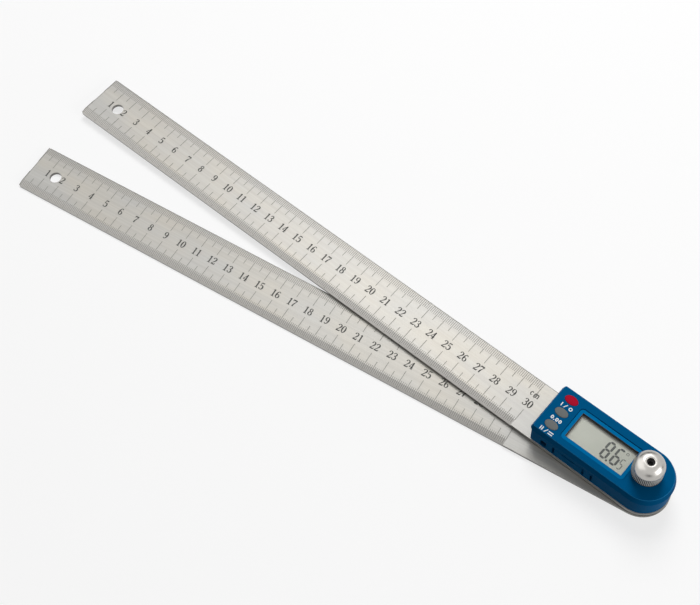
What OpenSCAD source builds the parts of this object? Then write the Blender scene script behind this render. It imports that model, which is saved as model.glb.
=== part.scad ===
// Digital angle finder: two ruled steel arms that turn about one clamped pivot.
// Origin: the pivot axis, on the plane the tool lies on. The fixed arm runs towards -X,
// +Y is the far edge with the fine marks, +Z is up. Sizes in millimetres.

/* [Arms] */
// Width of each steel arm
arm_width = 28; // [26:0.5:36]
// Thickness of each steel arm
arm_thickness = 1.8; // [1.5:0.1:3]
// Distance from an arm's free end to the pivot
arm_reach = 366; // [340:1:420]
// Length of the engraved scale, from the free end
scale_length = 300; // [200:10:300]
// Width of the ground bevel along the near edge
bevel_width = 3.4; // [1:0.1:5]
// How far the bevel lowers that edge
bevel_drop = 0.9; // [0.3:0.1:1.1]
// Radius of the arms' corners at the free end
arm_corner = 1.2; // [0.5:0.1:3]
// Diameter of the hanging hole
hang_hole_d = 6.5; // [4:0.5:10]
// Distance of the hanging hole from the free end
hang_hole_inset = 15; // [10:0.5:30]
// Angle between the arms as shown on the display
opening_angle = 8.65; // [0:0.05:90]

/* [Pivot] */
// Diameter of the pivot shaft's journal
journal_d = 10; // [9:0.5:12]
// Diameter of the shaft's flat flange under the lower arm
flange_d = 18; // [17:0.5:22]
// Thickness of that flange, let into the lower arm
flange_thickness = 0.9; // [0.6:0.1:1.1]
// How far the shaft's seat in the lower arm stands out beyond the journal
seat_step = 1; // [0.5:0.1:2]
// Wall of the brass bush in the upper arm
bush_wall = 0.95; // [0.8:0.05:1.5]
// How far the friction washer stays inside the arms' edges
friction_washer_inset = 1.5; // [1:0.1:4]
// Thickness of the friction washer, which sets the gap between the arms
friction_washer_thickness = 1; // [0.5:0.1:2]
// Diameter of the encoder disc on the shaft
rotor_d = 15.6; // [14:0.2:16]
// Thickness of the encoder disc
rotor_thickness = 0.9; // [0.5:0.1:1.2]

/* [Clamp] */
// Diameter of the threaded clamp stud
stud_d = 5; // [4:0.5:6]
// Diameter of the knob over its rim
knob_d = 15; // [14:0.5:24]
// Height of the knob
knob_height = 12; // [8:0.5:16]
// Height of the knob's upright grip band
knob_grip_height = 6.4; // [3:0.2:7]
// Height of the thrust collar under the knob
collar_height = 3; // [2:0.5:5]
// Diameter of the thrust collar
collar_d = 10; // [9:0.5:12]
// Diameter of the hole in the top of the knob
knob_eye_d = 3.6; // [3:0.1:4]

/* [Housing] */
// Distance from the pivot to the square end of the housing
housing_length = 55.3; // [54:0.1:62]
// How far the housing wall stands in from the arm's edge
housing_inset = 0.4; // [0.2:0.1:0.6]
// Thickness of the lower shell's walls
wall = 1.4; // [1:0.1:1.6]
// Thickness of the lower shell's floor
floor_thickness = 1.2; // [0.8:0.1:2]
// Thickness of the cover's roof
roof_thickness = 1.8; // [1.4:0.1:2.4]
// How far the cover stands out over the lower shell
cover_overhang = 0.5; // [0.2:0.1:0.8]
// Height of the cover's sloping skirt
skirt_height = 3.4; // [2.8:0.1:4]
// How far the skirt leans in towards the top
skirt_lean = 1.1; // [0.5:0.1:1.3]
// Radius of the cover's corners at its top
corner_r = 1; // [0.5:0.1:2]
// Radius of the fillet round the cover's top edge
edge_r = 0.35; // [0.1:0.05:0.6]
// Diameter of the housing screws
screw_d = 2; // [1.6:0.1:2.2]

/* [Display] */
// Length of the housing kept for the buttons, from its square end to the frame
button_zone = 13.5; // [13:0.1:16]
// Length of the housing kept clear between the pivot and the frame
pivot_zone = 6.8; // [6.2:0.1:10]
// Width of the cover's rim on each side of the frame
bezel_margin = 3.9; // [3.6:0.1:6]
// Width of the frame round the window
bezel_border = 1.8; // [1.5:0.1:2]
// Width of the groove round the frame
bezel_groove = 0.2; // [0.1:0.05:0.3]
// How far the frame sits below the cover's top
bezel_recess = 0.45; // [0.2:0.05:0.6]
// Corner radius of the frame
bezel_corner = 1.8; // [1.2:0.1:2.5]
// How far the window sits towards the near side
window_shift = 0.55; // [0:0.05:0.6]
// Thickness of the clear window
lens_thickness = 0.8; // [0.6:0.1:1.2]
// Thickness of the liquid crystal panel
lcd_thickness = 1.6; // [1.2:0.1:2]
// Thickness of the circuit board
board_thickness = 1; // [0.8:0.1:1.6]
// Height of the rubber contact strips between board and panel
strip_height = 2; // [1.5:0.1:3]

/* [Buttons] */
// Length of an oval button
button_length = 7; // [5:0.1:7]
// Gap between neighbouring buttons
button_gap = 3.5; // [3.3:0.1:4.5]
// Width of the cover's rim beside the outer buttons
button_margin = 2.75; // [2.6:0.05:4]
// How far the row of buttons sits towards the far side
button_shift = 0.35; // [0:0.05:0.5]
// Distance from the housing's square end to the middle of the buttons
button_inset = 7.3; // [7:0.1:8]
// How far a button stands above the cover
button_proud = 0.35; // [0.1:0.05:0.8]
// How far a button can be pressed
button_travel = 0.5; // [0.3:0.05:0.5]

/* [Battery] */
// Width of the housing beyond the coin cell, on each side
cell_margin = 3.6; // [3.5:0.1:6]
// Thickness of the coin cell
cell_thickness = 3.2; // [2:0.1:3.6]
// Distance from the housing's square end to the middle of the battery tray
tray_inset = 24.5; // [24:0.1:26]
// Wall of the battery tray round the cell
tray_wall = 1.2; // [0.8:0.1:1.3]
// Depth of the thumb stretch below the tray's top line
thumb_drop = 0.8; // [0.5:0.1:1.2]
// Width of the three slots beside the tray's front
slot_width = 1.3; // [0.8:0.1:1.3]
// Thickness of the battery tray's front
tray_front = 1.4; // [1.1:0.1:1.8]

/* [Fits] */
// Radial clearance of a shaft that turns
running_gap = 0.05; // [0.02:0.01:0.1]
// Clearance round a piece that slides
slide_gap = 0.2; // [0.1:0.05:0.3]
// Clearance round a piece that is set in place once
set_gap = 0.1; // [0.05:0.05:0.15]

/* [Hidden] */
$fn = 96;
// How far a cut runs past the face it opens
cut = 1;
// How far a post or rib runs into what carries it
root = 0.2;

// Levels, each worked up from the resting plane up
lower_arm_top = arm_thickness;
upper_arm_bottom = lower_arm_top + friction_washer_thickness;
upper_arm_top = upper_arm_bottom + arm_thickness;
floor_top = upper_arm_top + floor_thickness;
tray_bottom = floor_top + slide_gap;
tray_floor = 0.8;
cell_bottom = tray_bottom + tray_floor;
cell_top = cell_bottom + cell_thickness;
contact_room = 2.4;
board_bottom = cell_top + contact_room;
board_top = board_bottom + board_thickness;
lcd_bottom = board_top + strip_height;
lcd_top = lcd_bottom + lcd_thickness;
roof_bottom = lcd_top + lens_thickness;
cover_top = roof_bottom + roof_thickness;
parting = cover_top - skirt_height;
collar_top = cover_top + collar_height;
knob_top = collar_top + knob_height;

// Outlines of the housing
base_half = arm_width / 2 - housing_inset;
base_inner = base_half - wall;
cover_half = base_half + cover_overhang;
cover_corner = corner_r + skirt_lean;
base_corner = cover_corner - cover_overhang;
lip_width = 0.45;
lip_height = 0.9;
lip_half = base_inner + lip_width;
cover_inner = lip_half + set_gap;
cover_top_half = cover_half - skirt_lean;

// Coin cell and the room it takes
cell_d = 2 * (base_half - cell_margin);
tray_half = cell_d / 2 + tray_wall;
runner_width = 1;

// Screws that hold arm, lower shell and cover together
screw_r = screw_d / 2;
post_r = screw_r + 1;
boss_r = screw_r + 0.4;
post_top = board_top + 0.6;
screw_y = base_inner - set_gap - boss_r;
screw_end_x = -(housing_length - wall - set_gap - boss_r);
screw_mid_inset = 0.8;
screw_mid_x = screw_mid_inset - pivot_zone;
housing_screw_places = [for (x = [screw_end_x, screw_mid_x], y = [-screw_y, screw_y]) [x, y]];
screw_head_r = 2 * screw_r;
screw_head = screw_head_r - screw_r;
screw_hole_r = screw_r + set_gap;
screw_spare = 1;

// Circuit board
board_gap = 0.5;
board_half = base_inner - board_gap;
board_screw_r = 0.6;
board_screw_head_r = 1.1;
board_screw_head = 0.7;
board_screw_grip = 2;
board_post_r = 1.15;
board_screw_reach = 4.4;
board_screw_margin = 0.2;
board_screw_x = screw_mid_x - board_screw_reach;
board_screw_y = board_half - board_screw_head_r - board_screw_margin;
post_gap = 0.3;
button_width = (2 * (cover_top_half - button_margin) - 2 * button_gap) / 3;
button_pitch = button_width + button_gap;
button_x = button_inset - housing_length;
board_screw_places = [
    [button_x, button_shift + button_pitch / 2],
    [button_x, button_shift - button_pitch / 2],
    [board_screw_x, board_screw_y],
    [board_screw_x, -board_screw_y]
];

// Display
bezel_length = housing_length - button_zone - pivot_zone;
bezel_width = 2 * (cover_top_half - bezel_margin);
window_length = bezel_length - 2 * bezel_border;
window_width = bezel_width - 2 * bezel_border;
window_x = -pivot_zone - bezel_length / 2;
ledge = 1;
bezel_top = cover_top - bezel_recess;
bezel_flange = 0.75;
opening_length = bezel_length - 2 * ledge;
opening_width = bezel_width - 2 * ledge;
opening_corner = bezel_corner - ledge;
lens_seat = 0.4;
lens_length = opening_length + 2 * lens_seat;
lens_width = opening_width + 2 * lens_seat;
lcd_length = lens_length + 1.6;
lcd_width = lens_width;
strip_width = 1.6;
strip_inset = 1.5;

// Buttons
button_places = [for (i = [1, 0, -1]) button_shift + i * button_pitch];
button_flange_grow = 0.3;
button_flange = 0.9;
dome_height = 0.35;
dome_r = 2;
dome_crown_r = 1;
button_stem_r = 1.2;
button_stem_bottom = board_top + dome_height + button_travel + running_gap;

// Battery tray
cell_x = tray_inset - housing_length;
cell_y = -base_half + tray_front + slide_gap + cell_d / 2;
cell_edge = cell_y + cell_d / 2;
tray_back = cell_edge + 0.8;
tray_rim = cell_top - 0.6;
panel_top = cell_top + 1.25;
tray_line = 0.35;
tray_opening_top = panel_top + tray_line;
tray_opening_half = tray_half + slide_gap + set_gap;
slot_top = tray_opening_top + 0.7;
panel_half = tray_opening_half - slot_width;
latch_width = 3.4;
latch_web = 0.5;
latch_slot_x = cell_x + panel_half - latch_width - slot_width;
thumb_half = 3.65;
thumb_x = cell_x - 2.7;
thumb_depth = 0.7;
runner_x = tray_half + slide_gap;

// Battery contacts
leaf = 0.3;
leaf_width = 3;
leaf_gap = 0.5;
leaf_tip = -3;
leaf_bend = 1;
leaf_rise = 3;
leaf_foot = 2;
contact_gap = 0.05;

// Data socket in the near wall
socket_inset = 7.8;
socket_width = 3.4;
socket_depth = 4;
socket_bottom = floor_top + slide_gap;
socket_top = socket_bottom + 4.9;
socket_x = socket_inset - housing_length;
socket_front = -base_inner + slide_gap;
socket_contact = 0.4;
socket_contact_pitch = 0.8;
socket_contact_margin = 0.8;

// Pivot
journal_r = journal_d / 2;
seat_r = journal_r + seat_step;
friction_washer_r = arm_width / 2 - friction_washer_inset;
bush_bore_r = journal_r + running_gap;
bush_r = bush_bore_r + bush_wall;
bush_flange_r = bush_r + 1.5;
bush_flange = 0.6;
bush_top = floor_top + bush_flange;
ring_thickness = 0.6;
ring_bottom = bush_top + running_gap;
ring_r = journal_r + 1.6;
ring_mouth = 6;
groove_r = journal_r - 0.6;
rotor_gap = 0.3;
rotor_top = board_bottom - rotor_gap;
rotor_bottom = rotor_top - rotor_thickness;
rotor_bore_r = journal_r - 1.2;
stud_r = stud_d / 2;
stud_bottom = flange_thickness + 0.3;
eye_depth = 2.2;
stud_top = knob_top - eye_depth - slide_gap;
stud_socket_r = stud_r * 0.55;
stud_socket_depth = 2;
boss_bore_r = stud_r + slide_gap;
pivot_boss_r = stud_r + 2.2;
pivot_boss_bottom = board_bottom + 0.5;
pivot_boss_gap = 0.6;

// Plan of the housing and of an arm: straight at one end, round about the pivot at the other
module long_plan(half, length, corner = 0) {
    circle(r = half);
    translate([-length + corner, -half]) square([length - corner, 2 * half]);
    if (corner > 0) {
        translate([-length, -half + corner]) square([length, 2 * (half - corner)]);
        for (side = [-1, 1])
            translate([-length + corner, side * (half - corner)]) circle(r = corner);
    }
}

// Plan of an arm: eased corners at its free end, round about the pivot
module arm_plan() {
    long_plan(arm_width / 2, arm_reach, arm_corner);
}

// A rectangle with round corners, made of bars and discs
module round_rect(length, width, r) {
    square([length - 2 * r, width], center = true);
    square([length, width - 2 * r], center = true);
    for (x = [-1, 1], y = [-1, 1])
        translate([x * (length / 2 - r), y * (width / 2 - r)]) circle(r = r, $fn = 32);
}

// An oval with the given axes
module oval(length, width) {
    polygon([for (a = [0 : 7.5 : 352.5]) [length / 2 * cos(a), width / 2 * sin(a)]]);
}

// The cover's edge seen from its end: how far in from the widest line, and how high
skirt_angle = atan(skirt_lean / skirt_height);
fillet_in = skirt_lean + edge_r * (1 - sin(skirt_angle)) / cos(skirt_angle);
cover_edge = concat([[0, parting]], [for (i = [0 : 4])
    let (a = skirt_angle + (90 - skirt_angle) * i / 4)
    [fillet_in - edge_r * cos(a), cover_top - edge_r + edge_r * sin(a)]]);

// The cover's edge turned about an upright axis, starting at radius r
module turned_edge(r) {
    rotate_extrude() polygon(concat([[0, parting]], [for (p = cover_edge) [r - p[0], p[1]]],
                                    [[0, cover_top]]));
}

// The cover as one solid block with sloping sides and round corners
module cover_block() {
    length = housing_length + cover_overhang;
    far = [for (p = cover_edge) [cover_half - p[0], p[1]]];
    near = [for (i = [len(cover_edge) - 1 : -1 : 0]) [cover_edge[i][0] - cover_half, cover_edge[i][1]]];
    turned_edge(cover_half);
    rotate([90, 0, -90]) linear_extrude(height = length - cover_corner) polygon(concat(far, near));
    translate([0, cover_half - cover_corner, 0]) rotate([90, 0, 0])
        linear_extrude(height = 2 * (cover_half - cover_corner))
            polygon(concat([[0, parting]], [for (p = cover_edge) [p[0] - length, p[1]]], [[0, cover_top]]));
    for (side = [-1, 1])
        translate([-length + cover_corner, side * (cover_half - cover_corner), 0]) turned_edge(cover_corner);
}

// One ruled arm with its bevel and hanging hole, its underside at z = 0
module ruled_arm() {
    difference() {
        linear_extrude(height = arm_thickness) arm_plan();
        translate([-arm_reach + hang_hole_inset, 0, -cut])
            cylinder(d = hang_hole_d, h = arm_thickness + 2 * cut);
        translate([-arm_reach - cut, -arm_width / 2, arm_thickness])
            rotate([90, 0, 90]) linear_extrude(height = scale_length + cut)
                polygon([[-cut, cut], [-cut, -bevel_drop * (bevel_width + cut) / bevel_width],
                         [bevel_width, 0], [bevel_width, cut]]);
    }
}

module upper_arm() {
    color("silver") difference() {
        translate([0, 0, upper_arm_bottom]) ruled_arm();
        translate([0, 0, upper_arm_bottom - cut]) cylinder(r = bush_r, h = arm_thickness + 2 * cut);
        for (p = housing_screw_places) translate([p[0], p[1], 0]) {
            translate([0, 0, upper_arm_bottom - cut])
                cylinder(r = screw_hole_r, h = arm_thickness + 2 * cut);
            screw_head_space();
        }
    }
}

// Countersink in the underside of the upper arm
module screw_head_space() {
    translate([0, 0, upper_arm_bottom])
        rotate_extrude() polygon([[0, -cut], [screw_head_r, -cut], [screw_head_r, 0],
                                  [screw_r, screw_head], [0, screw_head]]);
}

module pivot_bush() {
    color("goldenrod") difference() {
        union() {
            translate([0, 0, upper_arm_bottom]) cylinder(r = bush_r, h = bush_top - upper_arm_bottom);
            translate([0, 0, floor_top]) cylinder(r = bush_flange_r, h = bush_flange);
        }
        translate([0, 0, upper_arm_bottom - cut])
            cylinder(r = bush_bore_r, h = bush_top - upper_arm_bottom + 2 * cut);
    }
}

// A box by its lowest and highest corners
module block(lo, hi) {
    translate(lo) cube(hi - lo);
}

// Cuts for the battery tray and its three slots in the near wall
module tray_opening() {
    outside = -base_half - cut;
    inside = -base_inner + set_gap;
    block([cell_x - tray_opening_half, outside, floor_top],
          [cell_x + tray_opening_half, inside, tray_opening_top]);
    for (x = [cell_x - tray_opening_half, latch_slot_x, cell_x + tray_opening_half - slot_width])
        block([x, outside, floor_top], [x + slot_width, inside, slot_top]);
}

module housing_base() {
    color("midnightblue") difference() {
        union() {
            difference() {
                translate([0, 0, upper_arm_top]) linear_extrude(height = parting - upper_arm_top)
                    long_plan(base_half, housing_length, base_corner);
                translate([0, 0, floor_top]) linear_extrude(height = parting)
                    long_plan(base_inner, housing_length - wall);
            }
            translate([0, 0, parting - wall]) linear_extrude(height = lip_height + wall) difference() {
                long_plan(lip_half, housing_length - wall + lip_width);
                long_plan(base_inner, housing_length - wall);
            }
            for (p = housing_screw_places) translate([p[0], p[1], upper_arm_top])
                cylinder(r = post_r, h = post_top - upper_arm_top);
            for (x = [cell_x - runner_x - runner_width, cell_x + runner_x])
                block([x, -base_inner - root, floor_top - root], [x + runner_width, tray_back, tray_rim]);
        }
        translate([0, 0, upper_arm_top - cut]) cylinder(r = bush_r, h = floor_thickness + 2 * cut);
        for (p = housing_screw_places) translate([p[0], p[1], upper_arm_top - cut])
            cylinder(r = screw_hole_r, h = post_top + 2 * cut);
        tray_opening();
        block([socket_x - socket_width / 2, -base_half - cut, socket_bottom],
              [socket_x + socket_width / 2, -base_inner + set_gap, socket_top]);
    }
}

module housing_cover() {
    through = roof_thickness + 2 * cut;
    color("teal") difference() {
        union() {
            difference() {
                cover_block();
                translate([0, 0, parting - cut]) linear_extrude(height = roof_bottom - parting + cut)
                    long_plan(cover_inner, housing_length - wall + lip_width + set_gap);
            }
            for (p = housing_screw_places) translate([p[0], p[1], post_top])
                cylinder(r = boss_r, h = roof_bottom - post_top + root);
            for (p = board_screw_places) translate([p[0], p[1], board_top])
                cylinder(r = board_post_r, h = roof_bottom - board_top + root);
            translate([0, 0, pivot_boss_bottom])
                cylinder(r = pivot_boss_r, h = roof_bottom - pivot_boss_bottom + root);
        }
        for (p = housing_screw_places) translate([p[0], p[1], post_top - cut])
            cylinder(r = screw_r, h = roof_bottom - post_top + cut);
        for (p = board_screw_places) translate([p[0], p[1], board_top - cut])
            cylinder(r = board_screw_r, h = roof_bottom - board_top + cut);
        translate([0, 0, pivot_boss_bottom - cut])
            cylinder(r = boss_bore_r, h = cover_top - pivot_boss_bottom + 2 * cut);
        translate([window_x, -window_shift, bezel_top - bezel_flange])
            linear_extrude(height = roof_thickness)
                round_rect(bezel_length + 2 * bezel_groove, bezel_width + 2 * bezel_groove,
                           bezel_corner + bezel_groove);
        translate([window_x, -window_shift, roof_bottom - cut]) linear_extrude(height = through)
            round_rect(opening_length, opening_width, opening_corner);
        for (y = button_places) translate([button_x, y, roof_bottom - cut])
            linear_extrude(height = through) oval(button_length + 2 * set_gap, button_width + 2 * set_gap);
    }
}

module display_bezel() {
    color("dodgerblue") translate([window_x, -window_shift, 0]) difference() {
        union() {
            translate([0, 0, bezel_top - bezel_flange]) linear_extrude(height = bezel_flange)
                round_rect(bezel_length, bezel_width, bezel_corner);
            translate([0, 0, roof_bottom]) linear_extrude(height = bezel_top - roof_bottom)
                round_rect(opening_length, opening_width, opening_corner);
        }
        translate([0, 0, roof_bottom - cut]) linear_extrude(height = roof_thickness + 2 * cut)
            square([window_length, window_width], center = true);
    }
}

module display_lens() {
    color("lightcyan") translate([window_x, -window_shift, lcd_top])
        linear_extrude(height = lens_thickness) square([lens_length, lens_width], center = true);
}

module lcd_panel() {
    color("darkseagreen") translate([window_x, -window_shift, lcd_bottom])
        linear_extrude(height = lcd_thickness) square([lcd_length, lcd_width], center = true);
}

module contact_strips() {
    color("dimgray") for (side = [-1, 1])
        translate([window_x, -window_shift + side * (lcd_width / 2 - strip_inset), board_top])
            linear_extrude(height = strip_height) square([window_length, strip_width], center = true);
}

module main_board() {
    through = board_thickness + 2 * cut;
    color("darkgreen") difference() {
        translate([0, 0, board_bottom]) linear_extrude(height = board_thickness)
            long_plan(board_half, housing_length - wall - board_gap);
        translate([0, 0, board_bottom - cut]) cylinder(r = pivot_boss_r + pivot_boss_gap, h = through);
        for (p = housing_screw_places) translate([p[0], p[1], board_bottom - cut])
            cylinder(r = post_r + post_gap, h = through);
        for (p = board_screw_places) translate([p[0], p[1], board_bottom - cut])
            cylinder(r = board_screw_r + set_gap, h = through);
    }
}

module controller_chip() {
    chip = [6, 6, 1];
    color("black") translate([window_x - chip[0] / 2, -window_shift - chip[1] / 2, board_top]) cube(chip);
}

module snap_domes() {
    color("silver") for (y = button_places) translate([button_x, y, board_top])
        rotate_extrude() polygon([[0, 0], [dome_r, 0], [(dome_r + dome_crown_r) / 2, dome_height * 0.7],
                                  [dome_crown_r, dome_height], [0, dome_height]]);
}

module data_socket() {
    color("black") difference() {
        block([socket_x - socket_width / 2, socket_front, socket_bottom],
              [socket_x + socket_width / 2, socket_front + socket_depth, board_bottom]);
        for (i = [-1.5 : 1.5]) translate([socket_x + i * socket_contact_pitch, 0, 0])
            block([-socket_contact / 2, socket_front - cut, socket_bottom + socket_contact_margin],
                  [socket_contact / 2, socket_front + 1, socket_top - socket_contact_margin]);
    }
}

module battery_contact_negative() {
    heel = leaf_bend + leaf_rise;
    toe = heel + leaf_foot;
    foot = board_bottom - leaf;
    color("silver") translate([cell_x - leaf_width / 2, cell_y, 0]) rotate([90, 0, 90])
        linear_extrude(height = leaf_width) polygon([
            [leaf_tip, cell_top], [leaf_bend, cell_top], [heel + leaf, foot], [toe, foot],
            [toe, board_bottom], [heel, board_bottom], [leaf_bend, cell_top + leaf],
            [leaf_tip, cell_top + leaf]
        ]);
}

module battery_contact_positive() {
    color("silver") block([cell_x - leaf_width / 2, cell_edge + contact_gap, cell_bottom + leaf_gap],
                          [cell_x + leaf_width / 2, cell_edge + contact_gap + leaf, board_bottom]);
}

module housing_screws() {
    length = roof_bottom - upper_arm_bottom - screw_spare;
    slot = [2 * screw_r, 0.4, 0.8];
    color("gray") for (p = housing_screw_places) translate([p[0], p[1], upper_arm_bottom]) difference() {
        rotate_extrude() polygon([[0, 0], [screw_head_r, 0], [screw_r, screw_head],
                                  [screw_r, length], [0, length]]);
        for (a = [0, 90]) rotate([0, 0, a]) translate([0, 0, slot[2] / 4]) cube(slot, center = true);
    }
}

module board_screws() {
    color("gray") for (p = board_screw_places) translate([p[0], p[1], board_bottom])
        rotate_extrude() polygon([[0, -board_screw_head], [board_screw_head_r, -board_screw_head],
                                  [board_screw_head_r, 0], [board_screw_r, 0],
                                  [board_screw_r, board_thickness + board_screw_grip],
                                  [0, board_thickness + board_screw_grip]]);
}

module lower_arm() {
    color("silver") rotate([0, 0, opening_angle]) difference() {
        ruled_arm();
        translate([0, 0, -cut]) cylinder(d = flange_d, h = flange_thickness + cut);
        translate([0, 0, -cut]) cylinder(r = seat_r, h = arm_thickness + 2 * cut);
    }
}

module pivot_shaft() {
    ring_top = ring_bottom + ring_thickness;
    color("gray") difference() {
        rotate_extrude() polygon([
            [0, 0], [flange_d / 2, 0], [flange_d / 2, flange_thickness], [seat_r, flange_thickness],
            [seat_r, lower_arm_top], [journal_r, lower_arm_top], [journal_r, ring_bottom],
            [groove_r, ring_bottom], [groove_r, ring_top], [journal_r, ring_top],
            [journal_r, rotor_bottom], [rotor_bore_r, rotor_bottom], [rotor_bore_r, rotor_top], [0, rotor_top]
        ]);
        translate([0, 0, stud_bottom]) cylinder(r = stud_r, h = rotor_top);
    }
}

module clamp_stud() {
    color("dimgray") difference() {
        translate([0, 0, stud_bottom]) cylinder(r = stud_r, h = stud_top - stud_bottom);
        translate([0, 0, stud_top - stud_socket_depth])
            cylinder(r = stud_socket_r, h = stud_socket_depth + cut, $fn = 6);
    }
}

// A flat ring by its radii and its levels
module flat_ring(outer, inner, bottom, height) {
    translate([0, 0, bottom]) difference() {
        cylinder(r = outer, h = height);
        translate([0, 0, -cut]) cylinder(r = inner, h = height + 2 * cut);
    }
}

module friction_washer() {
    color("dimgray") flat_ring(friction_washer_r, journal_r + set_gap, lower_arm_top,
                               friction_washer_thickness);
}

module encoder_rotor() {
    color("goldenrod") flat_ring(rotor_d / 2, rotor_bore_r, rotor_bottom, rotor_thickness);
}

module retaining_ring() {
    color("gray") difference() {
        flat_ring(ring_r, groove_r, ring_bottom, ring_thickness);
        block([0, -ring_mouth / 2, ring_bottom - cut],
              [ring_r + cut, ring_mouth / 2, ring_bottom + ring_thickness + cut]);
    }
}

module thrust_collar() {
    color("silver") flat_ring(collar_d / 2, stud_r + set_gap, cover_top, collar_height);
}

// Domed knob: a thin rim, an upright grip band, and a dome that closes on the eye
module clamp_knob() {
    rim = 0.8;
    rim_step = 0.1;
    bevel = 0.6;
    grip_r = knob_d / 2 - rim_step;
    eye_r = knob_eye_d / 2;
    crown_r = eye_r + bevel;
    dome_rise = knob_height - knob_grip_height;
    dome = [for (a = [0 : 6 : 90])
        [crown_r + (grip_r - crown_r) * cos(a), knob_grip_height + dome_rise * sin(a)]];
    color("gainsboro") translate([0, 0, collar_top]) rotate_extrude() polygon(concat(
        [[stud_r + running_gap, 0], [knob_d / 2, 0], [knob_d / 2, rim], [grip_r, rim]],
        dome,
        [[eye_r, knob_height - bevel], [eye_r, knob_height - eye_depth],
         [stud_r + running_gap, knob_height - eye_depth]]
    ));
}

// An oval button: cap through the cover, flange under the roof, stem over its dome
module button(y, tint) {
    color(tint) translate([button_x, y, 0]) {
        translate([0, 0, roof_bottom]) linear_extrude(height = roof_thickness + button_proud)
            oval(button_length, button_width);
        translate([0, 0, roof_bottom - button_flange]) linear_extrude(height = button_flange)
            oval(button_length + 2 * button_flange_grow, button_width + 2 * button_flange_grow);
        translate([0, 0, button_stem_bottom])
            cylinder(r = button_stem_r, h = roof_bottom - button_flange - button_stem_bottom + root);
    }
}

module power_button() button(button_places[0], "crimson");

module zero_button() button(button_places[1], "gray");

module hold_button() button(button_places[2], "gray");

module battery_tray() {
    front = -base_half;
    color("midnightblue") difference() {
        union() {
            block([cell_x - tray_half, -base_inner - set_gap, tray_bottom],
                  [cell_x + tray_half, tray_back, tray_rim]);
            block([cell_x - panel_half, front, tray_bottom],
                  [cell_x + panel_half, front + tray_front, panel_top]);
        }
        translate([cell_x, cell_y, cell_bottom]) cylinder(d = cell_d, h = cell_thickness);
        block([cell_x - leaf_width / 2 - leaf_gap, cell_y, cell_bottom],
              [cell_x + leaf_width / 2 + leaf_gap, tray_back + cut, cell_top]);
        block([latch_slot_x, front - cut, tray_bottom - cut],
              [latch_slot_x + slot_width, front + tray_front - latch_web, panel_top + cut]);
        block([thumb_x - thumb_half, front - cut, panel_top - thumb_drop],
              [thumb_x + thumb_half, front + thumb_depth, panel_top + cut]);
    }
}

module coin_cell() {
    cap = 0.25;
    cap_r = cell_d / 2 - 1.4;
    can_lip_r = cell_d / 2 - 1.2;
    color("silver") translate([cell_x, cell_y, cell_bottom]) rotate_extrude() polygon([
        [0, 0], [cell_d / 2, 0], [cell_d / 2, cell_thickness - cap], [can_lip_r, cell_thickness - cap],
        [cap_r, cell_thickness], [0, cell_thickness]
    ]);
}

upper_arm();
pivot_bush();
housing_base();
housing_cover();
display_bezel();
display_lens();
lcd_panel();
contact_strips();
main_board();
controller_chip();
snap_domes();
data_socket();
battery_contact_negative();
battery_contact_positive();
housing_screws();
board_screws();
lower_arm();
pivot_shaft();
clamp_stud();
friction_washer();
encoder_rotor();
retaining_ring();
thrust_collar();
clamp_knob();
power_button();
zero_button();
hold_button();
battery_tray();
coin_cell();
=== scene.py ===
# Dresses the digital angle finder: steel, blue shell, scales, display figures, knob and buttons
import math

import bmesh
import bpy
from mathutils import Matrix, Vector


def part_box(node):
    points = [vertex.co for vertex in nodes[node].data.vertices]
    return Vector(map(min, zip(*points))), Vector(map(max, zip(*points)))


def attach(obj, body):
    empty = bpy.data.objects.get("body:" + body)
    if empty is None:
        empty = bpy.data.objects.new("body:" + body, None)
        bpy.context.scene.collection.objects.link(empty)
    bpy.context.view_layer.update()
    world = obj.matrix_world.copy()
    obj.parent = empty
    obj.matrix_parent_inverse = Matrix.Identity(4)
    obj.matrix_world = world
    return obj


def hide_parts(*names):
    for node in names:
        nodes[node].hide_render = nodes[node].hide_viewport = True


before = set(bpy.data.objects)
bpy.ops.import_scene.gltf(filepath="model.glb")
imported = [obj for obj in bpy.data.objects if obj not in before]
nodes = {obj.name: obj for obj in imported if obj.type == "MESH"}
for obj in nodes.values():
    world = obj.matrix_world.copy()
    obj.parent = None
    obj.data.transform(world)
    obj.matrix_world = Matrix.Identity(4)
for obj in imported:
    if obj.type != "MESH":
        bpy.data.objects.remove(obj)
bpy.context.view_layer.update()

# Sizes of the tool, in metres
MM = 0.001
arm_reach = 366 * MM
arm_width = 28 * MM
scale_length = 300 * MM
bevel_width = 3.4 * MM
bevel_drop = 0.9 * MM
opening = math.radians(8.65)
upper_top = 4.6 * MM
lower_top = 1.8 * MM
cover_top = 19.6 * MM
lcd_top = 17 * MM
window_length = 31.4 * MM
window_width = 14.6 * MM
window_x = -24.3 * MM
window_y = -0.55 * MM
collar_top = 22.6 * MM
knob_height = 12 * MM
knob_radius = 7.5 * MM
grip_radius = 7.4 * MM
grip_height = 6.4 * MM
button_x = -48 * MM
button_row = 0.35 * MM
button_pitch = 8 * MM
button_length = 7 * MM
button_width = 4.5 * MM
# How far printed and engraved marks stand out, so that they never lie in the surface itself
mark_depth = 0.02 * MM


# Shapes

def new_piece(name, bm, body, material, smooth_angle=None):
    """A finished piece from a bmesh, riding on a body."""
    bmesh.ops.recalc_face_normals(bm, faces=bm.faces)
    mesh = bpy.data.meshes.new(name)
    bm.to_mesh(mesh)
    bm.free()
    mesh.materials.append(material)
    piece = bpy.data.objects.new(name, mesh)
    bpy.context.scene.collection.objects.link(piece)
    if smooth_angle is not None:
        mesh.shade_smooth()
        mesh.set_sharp_from_angle(angle=math.radians(smooth_angle))
    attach(piece, body)
    return piece


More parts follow.
